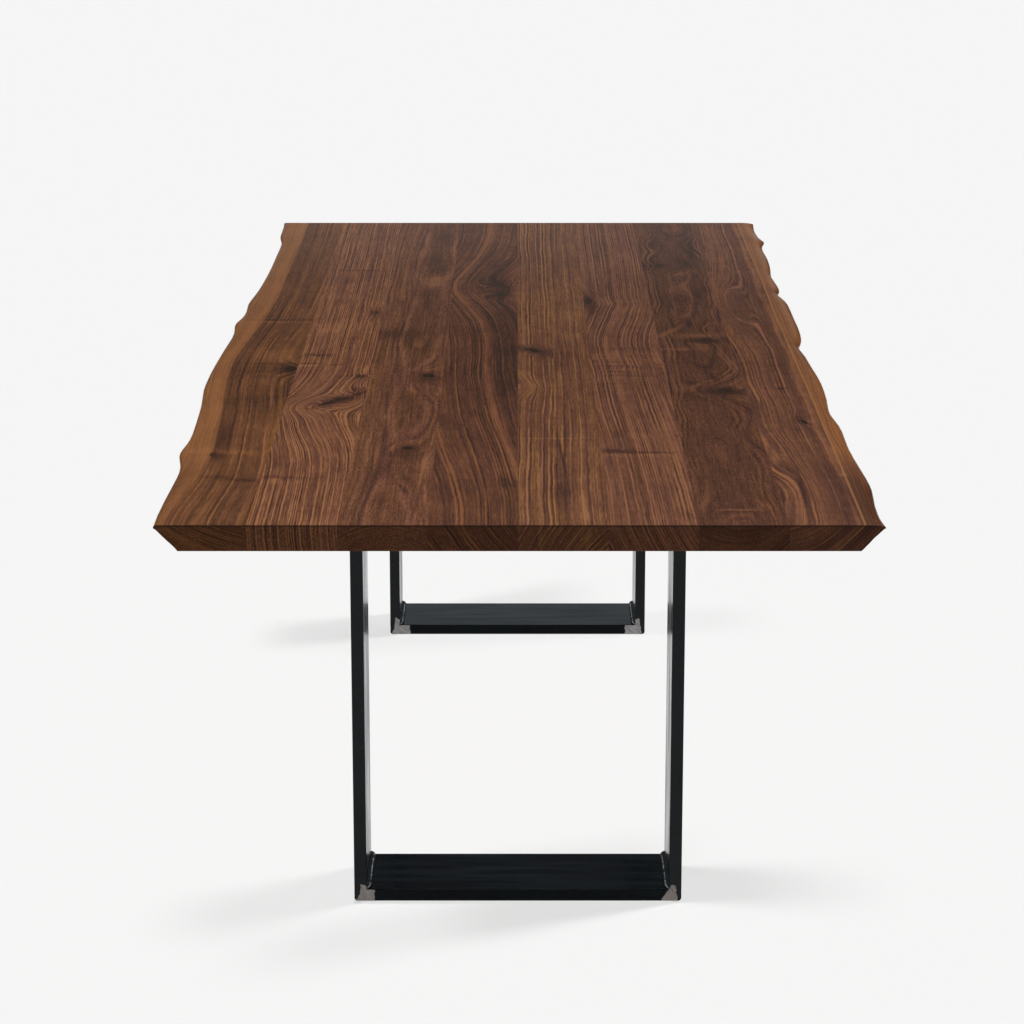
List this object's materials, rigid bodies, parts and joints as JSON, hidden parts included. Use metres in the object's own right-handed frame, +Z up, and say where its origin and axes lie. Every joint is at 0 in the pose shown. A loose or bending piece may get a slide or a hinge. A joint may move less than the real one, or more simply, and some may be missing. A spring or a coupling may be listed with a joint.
{
  "type": "live edge dining table",
  "caption": "Long dining table: glued walnut staves with natural, undercut side edges, bolted to closed frames of black flat steel bar.",
  "frame": {"origin": "on the floor, under the middle of the table top", "axes": "+X across the table, +Y along its length away from the near end, +Z up"},
  "size_m": [1.0478, 2.6, 0.75],
  "materials": {
    "walnut": "oiled, satin; dark heartwood with tan sapwood along the natural edges",
    "black_steel": "blackened flat bar under clear satin lacquer, ground bright over the lower corner welds",
    "weld_metal": "rippled weld bead, darkened and lacquered",
    "plated_steel": "zinc plated",
    "insert_brass": "as turned",
    "glide_nylon": "moulded, matte"
  },
  "bodies": {
    "root": {"stave_1": "walnut", "stave_2": "walnut", "stave_3": "walnut", "stave_4": "walnut", "stave_5": "walnut", "stave_6": "walnut", "stave_7": "walnut", "stave_8": "walnut", "near_left_upright": "black_steel", "near_right_upright": "black_steel", "near_floor_bar": "black_steel", "near_top_plate": "black_steel", "near_weld_beads": "weld_metal", "near_bolts": "plated_steel", "near_washers": "plated_steel", "near_threaded_inserts": "insert_brass", "near_glides": "glide_nylon", "far_left_upright": "black_steel", "far_right_upright": "black_steel", "far_floor_bar": "black_steel", "far_top_plate": "black_steel", "far_weld_beads": "weld_metal", "far_bolts": "plated_steel", "far_washers": "plated_steel", "far_threaded_inserts": "insert_brass", "far_glides": "glide_nylon"}
  },
  "joints": []
}
